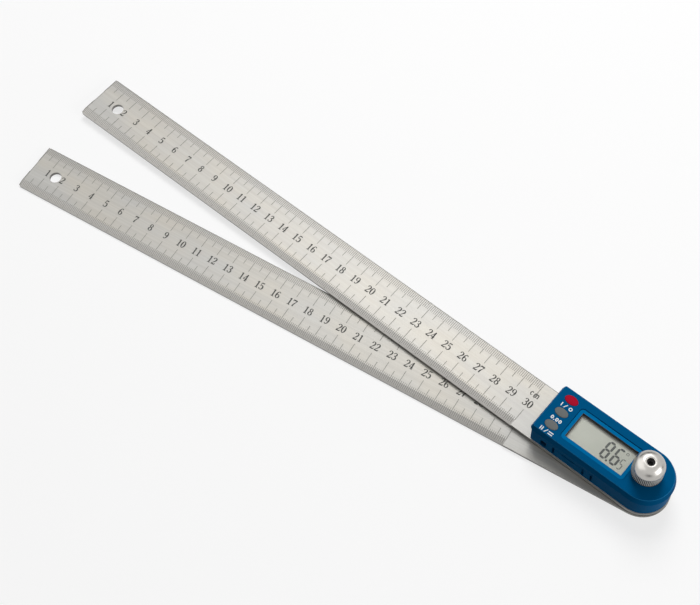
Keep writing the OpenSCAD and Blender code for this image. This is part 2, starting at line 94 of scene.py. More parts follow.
def add_prism(bm, outline, bottom, top):
    """An upright solid over an outline of (x, y) points."""
    low = [bm.verts.new((x, y, bottom)) for x, y in outline]
    high = [bm.verts.new((x, y, top)) for x, y in outline]
    bm.faces.new(high)
    bm.faces.new(low[::-1])
    for i in range(len(outline)):
        j = (i + 1) % len(outline)
        bm.faces.new((low[i], low[j], high[j], high[i]))


def join_loops(bm, loops):
    """Faces from each closed loop of vertices to the next one in the list."""
    count = len(loops[0])
    for a, b in zip(loops, loops[1:]):
        for i in range(count):
            j = (i + 1) % count
            bm.faces.new((a[i], a[j], b[j], b[i]))


def add_ring_prism(bm, outer, inner, bottom, top):
    """An upright solid between two outlines with the same number of points."""
    loops = [[bm.verts.new((x, y, z)) for x, y in line]
             for line, z in ((outer, bottom), (outer, top), (inner, top), (inner, bottom))]
    join_loops(bm, loops + loops[:1])


def add_lathe(bm, profile, segments):
    """A closed ring turned about the pivot from (radius, height) points."""
    turns = [2 * math.pi * i / segments for i in range(segments)]
    loops = [[bm.verts.new((radius * math.cos(a), radius * math.sin(a), height)) for a in turns]
             for radius, height in profile]
    join_loops(bm, loops + loops[:1])


def oval(length, width, centre, count=48):
    """The outline of an oval button."""
    return [(centre[0] + length / 2 * math.cos(a), centre[1] + width / 2 * math.sin(a))
            for a in (2 * math.pi * i / count for i in range(count))]


def circle(radius, centre, count=32):
    return oval(2 * radius, 2 * radius, centre, count)


# Pen strokes for figures: each point is (x, y, width) in parts of the figure's height

figure_pitch = 0.62
figure_pitch_m = 0.88
# How much heavier the strokes are cut than they are drawn
figure_weight = 1.2


def smooth_line(points, closed=False, steps=4):
    """Points along a soft curve through the given ones."""
    count = len(points)
    spans = count if closed else count - 1
    line = []
    for i in range(spans):
        picks = [i - 1, i, i + 1, i + 2]
        picks = [p % count if closed else min(max(p, 0), count - 1) for p in picks]
        a, b, c, d = (Vector(points[p]) for p in picks)
        for k in range(steps):
            t = k / steps
            line.append(0.5 * (2 * b + (c - a) * t + (2 * a - 5 * b + 4 * c - d) * t ** 2
                               + (3 * b - a - 3 * c + d) * t ** 3))
    if not closed:
        line.append(Vector(points[-1]))
    return line


def stroke_edges(line, closed=False):
    """The left and right edges of a stroke of changing width."""
    left, right = [], []
    count = len(line)
    for i, point in enumerate(line):
        before = line[i - 1] if closed or i > 0 else point
        after = line[(i + 1) % count] if closed or i < count - 1 else point
        along = Vector((after.x - before.x, after.y - before.y)).normalized()
        across = Vector((-along.y, along.x)) * point.z / 2 * figure_weight
        left.append((point.x + across.x, point.y + across.y))
        right.append((point.x - across.x, point.y - across.y))
    return left, right


def loop_stroke(x, y, wide, high, thick, thin):
    """A closed round stroke, heavy at its sides and light at top and bottom."""
    points = []
    for i in range(12):
        a = 2 * math.pi * i / 12
        weight = thin + (thick - thin) * abs(math.cos(a)) ** 1.5
        points.append((x + wide * math.cos(a), y + high * math.sin(a), weight))
    return points


six_loop = loop_stroke(0.32, 0.29, 0.2, 0.25, 0.13, 0.06)
six_neck = [(0.49, 0.83, 0.12), (0.41, 0.95, 0.07), (0.27, 0.91, 0.08),
            (0.14, 0.66, 0.13), (0.11, 0.34, 0.14)]


def upside_down(stroke):
    return [(figure_pitch - x, 1 - y, w) for x, y, w in stroke]


# Each figure is a list of (points, closed)
FIGURES = {
    "0": [(loop_stroke(0.31, 0.5, 0.21, 0.46, 0.15, 0.06), True)],
    "1": [([(0.33, 0.02, 0.14), (0.33, 0.98, 0.14)], False),
          ([(0.34, 0.95, 0.06), (0.15, 0.82, 0.07)], False),
          ([(0.14, 0.03, 0.06), (0.52, 0.03, 0.06)], False)],
    "2": [([(0.12, 0.74, 0.13), (0.15, 0.87, 0.09), (0.29, 0.96, 0.07), (0.45, 0.89, 0.12),
            (0.5, 0.73, 0.15), (0.42, 0.52, 0.12), (0.24, 0.28, 0.07), (0.08, 0.08, 0.06)], False),
          ([(0.06, 0.07, 0.13), (0.5, 0.07, 0.13)], False),
          ([(0.5, 0.03, 0.06), (0.56, 0.25, 0.05)], False)],
    "3": [([(0.12, 0.78, 0.13), (0.19, 0.92, 0.08), (0.31, 0.96, 0.07), (0.45, 0.87, 0.12),
            (0.46, 0.7, 0.14), (0.36, 0.57, 0.08), (0.22, 0.53, 0.06)], False),
          ([(0.22, 0.53, 0.06), (0.41, 0.49, 0.09), (0.51, 0.3, 0.15), (0.44, 0.11, 0.12),
            (0.28, 0.03, 0.07), (0.14, 0.08, 0.09), (0.09, 0.21, 0.13)], False)],
    "4": [([(0.41, 0.02, 0.14), (0.41, 0.98, 0.14)], False),
          ([(0.42, 0.97, 0.06), (0.05, 0.29, 0.06)], False),
          ([(0.03, 0.27, 0.07), (0.58, 0.27, 0.07)], False),
          ([(0.26, 0.03, 0.05), (0.56, 0.03, 0.05)], False)],
    "5": [([(0.13, 0.92, 0.12), (0.5, 0.94, 0.12)], False),
          ([(0.14, 0.95, 0.06), (0.11, 0.5, 0.06)], False),
          ([(0.12, 0.51, 0.05), (0.28, 0.6, 0.08), (0.45, 0.52, 0.13), (0.51, 0.3, 0.15),
            (0.44, 0.11, 0.12), (0.28, 0.03, 0.07), (0.13, 0.08, 0.09), (0.09, 0.2, 0.13)], False)],
    "6": [(six_loop, True), (six_neck, False)],
    "7": [([(0.07, 0.9, 0.14), (0.55, 0.91, 0.14)], False),
          ([(0.08, 0.96, 0.05), (0.06, 0.7, 0.05)], False),
          ([(0.55, 0.91, 0.06), (0.41, 0.62, 0.08), (0.29, 0.32, 0.13), (0.26, 0.02, 0.15)], False)],
    "8": [(loop_stroke(0.31, 0.74, 0.16, 0.21, 0.12, 0.06), True),
          (loop_stroke(0.31, 0.27, 0.2, 0.24, 0.14, 0.06), True)],
    "9": [(upside_down(six_loop), True), (upside_down(six_neck), False)],
    "c": [([(0.44, 0.5, 0.13), (0.36, 0.62, 0.07), (0.23, 0.62, 0.09), (0.11, 0.36, 0.14),
            (0.21, 0.07, 0.09), (0.35, 0.04, 0.06), (0.46, 0.18, 0.05)], False)],
    "m": [([(x, 0.02, 0.12), (x, 0.6, 0.12)], False) for x in (0.12, 0.44, 0.76)]
         + [([(x, 0.46, 0.05), (x + 0.13, 0.62, 0.1), (x + 0.27, 0.6, 0.12), (x + 0.32, 0.45, 0.12)], False)
            for x in (0.12, 0.44)]
         + [([(x - 0.1, 0.02, 0.05), (x + 0.1, 0.02, 0.05)], False) for x in (0.12, 0.44, 0.76)],
}


def add_words(bm, words, middle, height, bottom):
    """Figures in a row, centred on middle, reading along +X with their tops towards +Y."""
    pitches = [figure_pitch_m if letter == "m" else figure_pitch for letter in words]
    start = middle[0] - sum(pitches) / 2 * height
    for letter, pitch in zip(words, pitches):
        for points, closed in FIGURES[letter]:
            curved = len(points) > 2
            line = smooth_line(points, closed) if curved else [Vector(p) for p in points]
            sides = []
            for edge in stroke_edges(line, closed):
                sides.append([(start + x * height, middle[1] + (y - 0.5) * height) for x, y in edge])
            if closed:
                add_ring_prism(bm, sides[0], sides[1], bottom, bottom + mark_depth)
            else:
                add_strip(bm, sides[0], sides[1], bottom, bottom + mark_depth)
        start += pitch * height


def add_strip(bm, left, right, bottom, top):
    """An upright solid between two open edges."""
    count = len(left)
    rows = [[bm.verts.new((x, y, z)) for x, y in line]
            for line, z in ((left, bottom), (left, top), (right, top), (right, bottom))]
    for a, b in zip(rows, rows[1:] + rows[:1]):
        for i in range(count - 1):
            bm.faces.new((a[i], a[i + 1], b[i + 1], b[i]))
    bm.faces.new([row[0] for row in rows])
    bm.faces.new([row[-1] for row in rows][::-1])


# Finishes

def shader_input(material, name):
    return material.node_tree.nodes["Principled BSDF"].inputs[name]


def plain(name, colour, roughness, metallic=0.0, specular=0.5, alpha=1.0):
    """A material with its plain values set on the shader's own sockets."""
    material = bpy.data.materials.new(name)
    material.use_nodes = True
    shader_input(material, "Base Color").default_value = (*colour, 1)
    shader_input(material, "Roughness").default_value = roughness
    shader_input(material, "Metallic").default_value = metallic
    shader_input(material, "Specular IOR Level").default_value = specular
    shader_input(material, "Alpha").default_value = alpha
    return material


def add_node(material, kind, **values):
    """A shader node with its named settings or inputs set."""
    made = material.node_tree.nodes.new(kind)
    for key, value in values.items():
        if hasattr(made, key):
            setattr(made, key, value)
        else:
            made.inputs[key.replace("_", " ")].default_value = value
    return made


def join(material, source, target):
    material.node_tree.links.new(source, target)


def feed(tree, value, socket):
    """Sets a socket to a number or a colour, or links another node's output to it."""
    if isinstance(value, (int, float)):
        socket.default_value = value
    elif isinstance(value, tuple):
        socket.default_value = (*value, 1)
    else:
        tree.links.new(value, socket)


def tree_maths(tree, operation, *values):
    """A sum, product or comparison of outputs and numbers, in any node tree."""
    made = tree.nodes.new("ShaderNodeMath")
    made.operation = operation
    for socket, value in zip(made.inputs, values):
        feed(tree, value, socket)
    return made.outputs["Value"]


def maths(material, operation, *values):
    return tree_maths(material.node_tree, operation, *values)


def placed(material, scale, turn=0.0):
    """Object coordinates, turned about Z and stretched."""
    coordinates = add_node(material, "ShaderNodeTexCoord")
    mapping = add_node(material, "ShaderNodeMapping")
    mapping.inputs["Rotation"].default_value = (0, 0, turn)
    join(material, coordinates.outputs["Object"], mapping.inputs["Vector"])
    stretch = add_node(material, "ShaderNodeVectorMath", operation="MULTIPLY")
    stretch.inputs[1].default_value = scale
    join(material, mapping.outputs["Vector"], stretch.inputs[0])
    return stretch.outputs["Vector"]


def noise(material, scale, turn=0.0, detail=3.0):
    """Noise over object coordinates; scale is features for each metre along X, Y and Z."""
    texture = add_node(material, "ShaderNodeTexNoise", Detail=detail, Roughness=0.55, Scale=1.0)
    join(material, placed(material, scale, turn), texture.inputs["Vector"])
    return texture.outputs["Fac"]


def ramp(material, value, low, high):
    """Spreads a value so that low gives 0 and high gives 1."""
    spread = add_node(material, "ShaderNodeMapRange")
    spread.inputs["From Min"].default_value = low
    spread.inputs["From Max"].default_value = high
    join(material, value, spread.inputs["Value"])
    return spread.outputs["Result"]


def blend_colour(material, factor, first, second, blend_type="MIX"):
    """A colour from two; each of them, and the factor, is a value or another node's output."""
    mix = add_node(material, "ShaderNodeMix", data_type="RGBA", blend_type=blend_type)
    feed(material.node_tree, factor, mix.inputs["Factor"])
    for name, colour in (("A", first), ("B", second)):
        socket = [s for s in mix.inputs if s.name == name and s.type == "RGBA"][0]
        feed(material.node_tree, colour, socket)
    return [s for s in mix.outputs if s.type == "RGBA"][0]


def set_colour(material, colour):
    join(material, colour, shader_input(material, "Base Color"))


def set_roughness(material, value, low, high):
    """Roughness that runs from low to high with a value of 0 to 1."""
    spread = add_node(material, "ShaderNodeMapRange")
    spread.inputs["To Min"].default_value = low
    spread.inputs["To Max"].default_value = high
    join(material, value, spread.inputs["Value"])
    join(material, spread.outputs["Result"], shader_input(material, "Roughness"))


def set_bump(material, value, height):
    bump = add_node(material, "ShaderNodeBump", Strength=1.0, Distance=height)
    join(material, value, bump.inputs["Height"])
    join(material, bump.outputs["Normal"], shader_input(material, "Normal"))


def shade(colour, factor):
    return tuple(c * factor for c in colour)


def coordinate(material, axis, turn=0.0):
    """One object coordinate, in metres, of a piece turned back by the given angle."""
    parts = add_node(material, "ShaderNodeSeparateXYZ")
    join(material, placed(material, (1, 1, 1), turn), parts.inputs["Vector"])
    return parts.outputs[axis]


def within(material, value, middle, reach):
    """1 where a value lies within reach of middle, else 0."""
    away = maths(material, "ABSOLUTE", maths(material, "SUBTRACT", value, middle))
    return maths(material, "LESS_THAN", away, reach)


def tint(material, factor, colour):
    """Lays a colour over what the material already shows, where factor is 1."""
    shown = shader_input(material, "Base Color").links[0].from_socket
    set_colour(material, blend_colour(material, factor, shown, colour))


def moulded(name, colour, roughness=0.42, grain=0.0, specular=0.035):
    """Moulded plastic: a fine spark-eroded grain and a slow drift in tone."""
    material = plain(name, colour, roughness, specular=specular)
    drift = noise(material, (60, 60, 60), detail=2)
    set_colour(material, blend_colour(material, drift, shade(colour, 0.94), shade(colour, 1.06)))
    fine = noise(material, (2600, 2600, 2600), detail=2)
    set_roughness(material, fine, roughness - 0.05, roughness + 0.07)
    if grain:
        set_bump(material, fine, grain)
    return material


def metal(name, colour, roughness, streak=(300, 300, 300), bump=0.0, spread=0.05, metallic=1.0):
    """Bare or plated metal; streak is the features of its finish for each metre along X, Y and Z."""
    material = plain(name, colour, roughness, metallic=metallic)
    lines = noise(material, streak, detail=3)
    set_colour(material, blend_colour(material, lines, shade(colour, 0.93), shade(colour, 1.05)))
    set_roughness(material, lines, roughness - spread, roughness + spread)
    if bump:
        set_bump(material, lines, bump)
    return material


def brushed_arm(name, turn, steel):
    """Brushed steel along the arm; its ground bevel has painted shade that darkens it outwards, and its far
    edge, free end and upright sides have painted shade.
    """
    ground = shade(steel, 0.95)
    bevel_painted_shade = shade(ground, 0.75)
    # Painted shade for the arm's edges and upright sides
    painted_edge_shade = shade(steel, 0.55)
    # The bevel's tone starts this far in from the arm's side, which has painted shade of its own
    side_wall = 0.03 * MM
    edge_line = 0.4 * MM
    arm_side = -arm_width / 2
    material = plain(name, steel, 0.4, metallic=0.9)
    fine = noise(material, (14, 5200, 5200), turn, detail=4)
    broad = noise(material, (9, 700, 700), turn, detail=3)
    cloud = noise(material, (22, 70, 70), turn, detail=2)
    lines = maths(material, "MULTIPLY", maths(material, "ADD", fine, broad), 0.5)
    face = blend_colour(material, ramp(material, lines, 0.35, 0.65), shade(steel, 0.91), shade(steel, 1.07))
    warm = blend_colour(material, ramp(material, cloud, 0.35, 0.65), (0.97, 0.98, 0.99), (1.03, 1.01, 0.97))
    set_colour(material, blend_colour(material, 1.0, face, warm, "MULTIPLY"))
    x = coordinate(material, "X", turn)
    y = coordinate(material, "Y", turn)
    beside = within(material, y, arm_side + (bevel_width + side_wall) / 2, (bevel_width - side_wall) / 2)
    along = maths(material, "LESS_THAN", x, scale_length - arm_reach)
    # Painted shade: the bevel's colour darkens towards its outer edge
    outwards = ramp(material, y, arm_side, arm_side + bevel_width / 2)
    slope = blend_colour(material, outwards, bevel_painted_shade, ground)
    tint(material, maths(material, "MULTIPLY", beside, along), slope)
    # Painted shade: a dark line along the far edge and along the free end
    far_line = maths(material, "GREATER_THAN", y, -arm_side - edge_line)
    end_line = maths(material, "LESS_THAN", x, edge_line - arm_reach)
    tint(material, maths(material, "MAXIMUM", far_line, end_line), painted_edge_shade)
    # Painted shade on the arm's upright sides, picked out by the way they face
    facing = add_node(material, "ShaderNodeNewGeometry").outputs["True Normal"]
    parts = add_node(material, "ShaderNodeSeparateXYZ")
    join(material, facing, parts.inputs["Vector"])
    upright_face = within(material, parts.outputs["Z"], 0.0, 0.5)
    tint(material, upright_face, painted_edge_shade)
    set_roughness(material, lines, 0.36, 0.5)
    set_bump(material, lines, 0.004 * MM)
    return material


def frame_plastic(colour):
    """The display frame's blue, with painted shade on the walls of its window."""
    material = moulded("frame_blue", colour, 0.36, 0.002 * MM, matte)
    hair = 0.03 * MM
    inside = maths(material, "MULTIPLY",
                   within(material, coordinate(material, "X"), window_x, window_length / 2 + hair),
                   within(material, coordinate(material, "Y"), window_y, window_width / 2 + hair))
    # Painted shade on the window's walls
    tint(material, inside, painted_recess_shade)
    return material


def crystal_panel(colour):
    """The panel under the window, with painted shadow along the far side and the end, where the frame
    shades it.
    """
    material = moulded("crystal", colour, 0.3)
    far_edge = window_y + window_width / 2
    end_edge = window_x - window_length / 2
    far_shadow = ramp(material, coordinate(material, "Y"), far_edge - 1.9 * MM, far_edge - 0.1 * MM)
    end_shadow = ramp(material, coordinate(material, "X"), end_edge + 0.8 * MM, end_edge)
    # Painted shadow from the frame along the panel's far side and end
    tint(material, far_shadow, painted_recess_shade)
    tint(material, end_shadow, painted_recess_shade)
    return material


def cover_plastic(colour):
    """The cover's blue, with a painted highlight on the small round of its top edge."""
    material = moulded("cover_blue", colour, 0.38, 0.003 * MM, matte)
    # The top face's level part ends this far from the centre line and the pivot
    level_side = 12 * MM
    level_end = -53 * MM
    along = coordinate(material, "X")
    across = coordinate(material, "Y")
    on_round = within(material, coordinate(material, "Z"), cover_top - 0.18 * MM, 0.14 * MM)
    past_pivot = maths(material, "MAXIMUM", along, 0.0)
    squares = [maths(material, "MULTIPLY", part, part) for part in (past_pivot, across)]
    reach = maths(material, "SQRT", maths(material, "ADD", *squares))
    side = maths(material, "GREATER_THAN", reach, level_side)
    end = maths(material, "LESS_THAN", along, level_end)
    outside = maths(material, "MAXIMUM", side, end)
    # Painted highlight along the rounded top edge
    tint(material, maths(material, "MULTIPLY", on_round, outside), highlight_blue)
    return material


# Specular level of the blue plastic, which mirrors next to nothing
matte = 0.006
steel_upper = (0.37, 0.36, 0.339)
# Painted shade: the lower arm's steel is darker than the upper arm's, for the light it catches less
steel_lower_shaded = (0.33, 0.322, 0.303)
blue_top = (0.0, 0.092, 0.24)
blue_wall = (0.0, 0.1, 0.255)
blue_frame = (0.0, 0.165, 0.41)
# Painted highlight colour for the cover's rounded top edge
highlight_blue = (0.02, 0.19, 0.43)
# Painted shade for the window's walls and the shadow on the panel under them
painted_recess_shade = (0.12, 0.11, 0.094)

finishes = {
    "upper_steel": brushed_arm("upper_steel", 0.0, steel_upper),
    "lower_steel": brushed_arm("lower_steel", -opening, steel_lower_shaded),
    "engraving": plain("engraving", (0.115, 0.11, 0.10), 0.6),
    "bevel_engraving": plain("bevel_engraving", (0.13, 0.125, 0.115), 0.6),
    "figure_ink": plain("figure_ink", (0.025, 0.024, 0.022), 0.55),
    "cover_blue": cover_plastic(blue_top),
    "wall_blue": moulded("wall_blue", blue_wall, 0.4, 0.003 * MM, matte),
    "frame_blue": frame_plastic(blue_frame),
    "tray_blue": moulded("tray_blue", blue_wall, 0.42, 0.003 * MM, matte),
    "red_rubber": moulded("red_rubber", (0.43, 0.006, 0.028), 0.5, 0.002 * MM),
    "grey_rubber": moulded("grey_rubber", (0.168, 0.178, 0.178), 0.55, 0.002 * MM),
    "label_ink": plain("label_ink", (0.82, 0.83, 0.84), 0.5),
    "crystal": crystal_panel((0.66, 0.675, 0.595)),
    "crystal_ink": plain("crystal_ink", (0.075, 0.08, 0.075), 0.5, specular=0.1),
    "crystal_faint": plain("crystal_faint", (0.22, 0.235, 0.21), 0.5, specular=0.1),
    "window": plain("window", (0.9, 0.93, 0.92), 0.06, alpha=0.1),
    "polished": metal("polished", (0.48, 0.465, 0.44), 0.3, (900, 900, 60), spread=0.03),
    # Painted highlight: the ribs are given a lighter, less metallic finish than the dome's metal
    "knurled": metal("knurled", (0.86, 0.84, 0.80), 0.35, (900, 900, 900), metallic=0.25),
    # Painted shade between and below the knob's ribs
    "groove": plain("groove", (0.04, 0.038, 0.035), 0.6),
    "collar_steel": metal("collar_steel", (0.62, 0.62, 0.60), 0.25, (60, 60, 4000), 0.002 * MM),
    "turned_steel": metal("turned_steel", (0.55, 0.54, 0.52), 0.3, (80, 80, 4000), 0.002 * MM),
    "black_steel": metal("black_steel", (0.05, 0.05, 0.052), 0.35),
    "zinc": metal("zinc", (0.6, 0.6, 0.58), 0.32, (1500, 1500, 1500)),
    "brass": metal("brass", (0.68, 0.48, 0.2), 0.3, (60, 60, 3000)),
    "spring_steel": metal("spring_steel", (0.66, 0.66, 0.64), 0.22, (40, 2000, 2000)),
    "cell_steel": metal("cell_steel", (0.30, 0.30, 0.295), 0.34, (60, 2500, 2500)),
    "board_green": moulded("board_green", (0.012, 0.11, 0.035), 0.35, 0.01 * MM),
    "black_plastic": moulded("black_plastic", (0.012, 0.012, 0.013), 0.45, 0.003 * MM),
    "strip_rubber": moulded("strip_rubber", (0.05, 0.05, 0.055), 0.75, 0.01 * MM),
    "washer_fibre": moulded("washer_fibre", (0.06, 0.055, 0.05), 0.8, 0.02 * MM),
}

node_finish = {
    "upper_arm": "upper_steel", "lower_arm": "lower_steel", "pivot_bush": "brass",
    "housing_base": "wall_blue", "housing_cover": "cover_blue", "display_bezel": "frame_blue",
    "display_lens": "window", "lcd_panel": "crystal", "contact_strips": "strip_rubber",
    "main_board": "board_green", "controller_chip": "black_plastic", "snap_domes": "spring_steel",
    "data_socket": "black_plastic", "battery_contact_negative": "spring_steel",
    "battery_contact_positive": "spring_steel", "housing_screws": "zinc", "board_screws": "zinc",
    "pivot_shaft": "turned_steel", "clamp_stud": "black_steel", "friction_washer": "washer_fibre",
    "encoder_rotor": "board_green", "retaining_ring": "spring_steel", "thrust_collar": "collar_steel",
    "clamp_knob": "polished", "power_button": "red_rubber", "zero_button": "grey_rubber",
    "hold_button": "grey_rubber", "battery_tray": "tray_blue", "coin_cell": "cell_steel",
}
for name, finish in node_finish.items():
    slots = nodes[name].data.materials
    slots.clear()
    slots.append(finishes[finish])


# Scales on both arms

def tree_input(tree, name, kind):
    """Adds a named input to a Geometry Nodes tree and returns its identifier."""
    return tree.interface.new_socket(name, in_out="INPUT", socket_type=kind).identifier


def run_tree(name, tree, values):
    """The plain mesh that a Geometry Nodes tree gives with these input values."""
    carrier = bpy.data.objects.new(name, bpy.data.meshes.new(name))
    bpy.context.scene.collection.objects.link(carrier)
    modifier = carrier.modifiers.new(name, "NODES")
    modifier.node_group = tree
    for identifier, value in values.items():
        modifier[identifier] = value
    evaluated = carrier.evaluated_get(bpy.context.evaluated_depsgraph_get())
    mesh = bpy.data.meshes.new_from_object(evaluated)
    carrier.modifiers.remove(modifier)
    bpy.data.objects.remove(carrier)
    return mesh


def new_tree(name, lengths, counts):
    """A Geometry Nodes tree with inputs for lengths, counts and a material, and their identifiers."""
    tree = bpy.data.node_groups.new(name, "GeometryNodeTree")
    ids = {label: tree_input(tree, label, "NodeSocketFloat") for label in lengths}
    for label in counts:
        ids[label] = tree_input(tree, label, "NodeSocketInt")
    ids["Material"] = tree_input(tree, "Material", "NodeSocketMaterial")
    tree.interface.new_socket("Geometry", in_out="OUTPUT", socket_type="NodeSocketGeometry")
    return tree, ids


def finish_tree(tree, copies, material):
    """Makes the copies real, paints them and gives them out."""
    link = tree.links.new
    real = tree.nodes.new("GeometryNodeRealizeInstances")
    link(copies.outputs["Instances"], real.inputs["Geometry"])
    painted = tree.nodes.new("GeometryNodeSetMaterial")
    link(real.outputs["Geometry"], painted.inputs["Geometry"])
    link(material, painted.inputs["Material"])
    link(painted.outputs["Geometry"], tree.nodes.new("NodeGroupOutput").inputs["Geometry"])


def tick_tree():
    """Marks in a row; those on the half step are longer and those on the whole step longest."""
    lengths = ("Spacing", "Fine Length", "Half Length", "Whole Length", "Fine Width", "Long Width",
               "Mark Height")
    tree, ids = new_tree("scale_marks", lengths, ("Count", "Half Step", "Whole Step"))
    given = tree.nodes.new("NodeGroupInput").outputs
    link = tree.links.new
    step = tree.nodes.new("ShaderNodeCombineXYZ")
    link(given["Spacing"], step.inputs["X"])
    row = tree.nodes.new("GeometryNodeMeshLine")
    link(given["Count"], row.inputs["Count"])
    link(step.outputs["Vector"], row.inputs["Offset"])
    index = tree.nodes.new("GeometryNodeInputIndex").outputs["Index"]
    beyond_half = tree_maths(tree, "SUBTRACT", given["Half Length"], given["Fine Length"])
    beyond_whole = tree_maths(tree, "SUBTRACT", given["Whole Length"], given["Half Length"])
    is_half = tree_maths(tree, "LESS_THAN", tree_maths(tree, "MODULO", index, given["Half Step"]), 0.5)
    is_whole = tree_maths(tree, "LESS_THAN", tree_maths(tree, "MODULO", index, given["Whole Step"]), 0.5)
    more = tree_maths(tree, "ADD", tree_maths(tree, "MULTIPLY", is_half, beyond_half),
                      tree_maths(tree, "MULTIPLY", is_whole, beyond_whole))
    length = tree_maths(tree, "ADD", given["Fine Length"], more)
    size = tree.nodes.new("ShaderNodeCombineXYZ")
    beyond_fine = tree_maths(tree, "SUBTRACT", given["Long Width"], given["Fine Width"])
    wider = tree_maths(tree, "MULTIPLY", is_half, beyond_fine)
    link(tree_maths(tree, "ADD", given["Fine Width"], wider), size.inputs["X"])
    link(length, size.inputs["Y"])
    link(given["Mark Height"], size.inputs["Z"])
    mark = tree.nodes.new("GeometryNodeMeshCube")
    shift = tree.nodes.new("GeometryNodeTransform")
    shift.inputs["Translation"].default_value = (0, -0.5, 0.5)
    link(mark.outputs["Mesh"], shift.inputs["Geometry"])
    copies = tree.nodes.new("GeometryNodeInstanceOnPoints")
    link(row.outputs["Mesh"], copies.inputs["Points"])
    link(shift.outputs["Geometry"], copies.inputs["Instance"])
    link(size.outputs["Vector"], copies.inputs["Scale"])
    finish_tree(tree, copies, given["Material"])
    return tree, ids


scale_tree, scale_ids = tick_tree()


def place_mesh(name, mesh, turn, body):
    """Turns a finished mesh about the pivot and puts it on its body."""
    mesh.transform(Matrix.Rotation(turn, 4, "Z"))
    piece = bpy.data.objects.new(name, mesh)
    bpy.context.scene.collection.objects.link(piece)
    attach(piece, body)
    return piece


def mark_arm(prefix, level, turn, body):
    """The rows of marks and the figures of one arm."""
    spacing = 1 * MM
    centimetre = 10 * MM
    edge_margin = 0.05 * MM
    bevel_line = -arm_width / 2 + bevel_width
    mirrored = Matrix.Diagonal((1, -1, 1, 1))
    slope = Matrix.Rotation(math.atan(bevel_drop / bevel_width), 4, "X")
    # Where each row starts, its fine, half and whole lengths in millimetres, and its finish
    rows = {
        "far_marks": (Matrix.Translation((-arm_reach, arm_width / 2 - edge_margin, level)),
                      (4.1, 7.1, 10.0), "engraving"),
        "near_marks": (Matrix.Translation((-arm_reach, bevel_line + edge_margin, level)) @ mirrored,
                       (1.1, 3.9, 6.8), "engraving"),
        "bevel_marks": (Matrix.Translation((-arm_reach, bevel_line, level)) @ slope,
                        (2.4, 2.6, 3.0), "bevel_engraving"),
    }
    for label, (place, lengths, finish) in rows.items():
        values = {scale_ids["Count"]: round(scale_length / spacing) + 1,
                  scale_ids["Half Step"]: 5, scale_ids["Whole Step"]: 10,
                  scale_ids["Spacing"]: spacing, scale_ids["Fine Width"]: 0.25 * MM,
                  scale_ids["Long Width"]: 0.28 * MM, scale_ids["Mark Height"]: mark_depth,
                  scale_ids["Material"]: finishes[finish]}
        for key, length in zip(("Fine Length", "Half Length", "Whole Length"), lengths):
            values[scale_ids[key]] = length * MM
        mesh = run_tree(f"{prefix}_{label}", scale_tree, values)
        mesh.transform(place)
        if place.is_negative:
            mesh.flip_normals()
        place_mesh(f"{prefix}_{label}", mesh, turn, body)
    bm = bmesh.new()
    figure_height = 4.2 * MM
    for number in range(1, round(scale_length / centimetre) + 1):
        middle = (number * centimetre - arm_reach - 0.4 * MM, 0.3 * MM)
        add_words(bm, str(number), middle, figure_height, level)
    unit_height = 3.4 * MM
    add_words(bm, "cm", (scale_length - arm_reach - 0.5 * MM, 6.4 * MM), unit_height, level)
    bmesh.ops.rotate(bm, verts=bm.verts, cent=(0, 0, 0), matrix=Matrix.Rotation(turn, 3, "Z"))
    new_piece(f"{prefix}_figures", bm, body, finishes["figure_ink"])


mark_arm("upper_arm", upper_top, 0.0, "base")
mark_arm("lower_arm", lower_top, opening, "swing_arm")


# Display figures: seven bars to a figure, leaning a little

segment_bars = {"a": ((0, 1), (1, 1)), "b": ((1, 1), (1, 0.5)), "c": ((1, 0.5), (1, 0)),
                "d": ((0, 0), (1, 0)), "e": ((0, 0.5), (0, 0)), "f": ((0, 1), (0, 0.5)),
                "g": ((0, 0.5), (1, 0.5))}
lcd_lean = 0.05


def add_lcd_figure(bm, lit, corner, width, height, stroke):
    """One figure; corner is its lower left bar centre."""
    for letter in lit:
        (x0, y0), (x1, y1) = segment_bars[letter]
        start, end = (Vector((corner[0] + x * width + y * height * lcd_lean, corner[1] + y * height))
                      for x, y in ((x0, y0), (x1, y1)))
        along = (end - start).normalized()
        across = Vector((-along.y, along.x)) * stroke / 2
        gap = along * stroke * 0.12
        point = along * stroke / 2
        start, end = start + gap, end - gap
        outline = [start, start + point - across, end - point - across, end,
                   end - point + across, start + point + across]
        add_prism(bm, [tuple(p) for p in outline], lcd_top, lcd_top + mark_depth)


bm = bmesh.new()
point_place = (-18.4 * MM, -5.2 * MM)
degree_place = (-12.2 * MM, 3.5 * MM)
for corner_x, lit in ((-22.4 * MM, "abcdefg"), (-17.0 * MM, "acdefg")):
    add_lcd_figure(bm, lit, (corner_x, -5.0 * MM), width=2.9 * MM, height=8.8 * MM, stroke=1.1 * MM)
add_prism(bm, circle(0.55 * MM, point_place, 16), lcd_top, lcd_top + mark_depth)
add_ring_prism(bm, circle(0.75 * MM, degree_place), circle(0.5 * MM, degree_place),
               lcd_top, lcd_top + mark_depth)
new_piece("display_figures", bm, "base", finishes["crystal_ink"])
bm = bmesh.new()
add_lcd_figure(bm, "acdfg", (-12.9 * MM, -5.25 * MM), width=1.7 * MM, height=5.5 * MM, stroke=0.6 * MM)
new_piece("display_small_figure", bm, "base", finishes["crystal_faint"])


# Buttons, each with a softly domed cap, and their marks

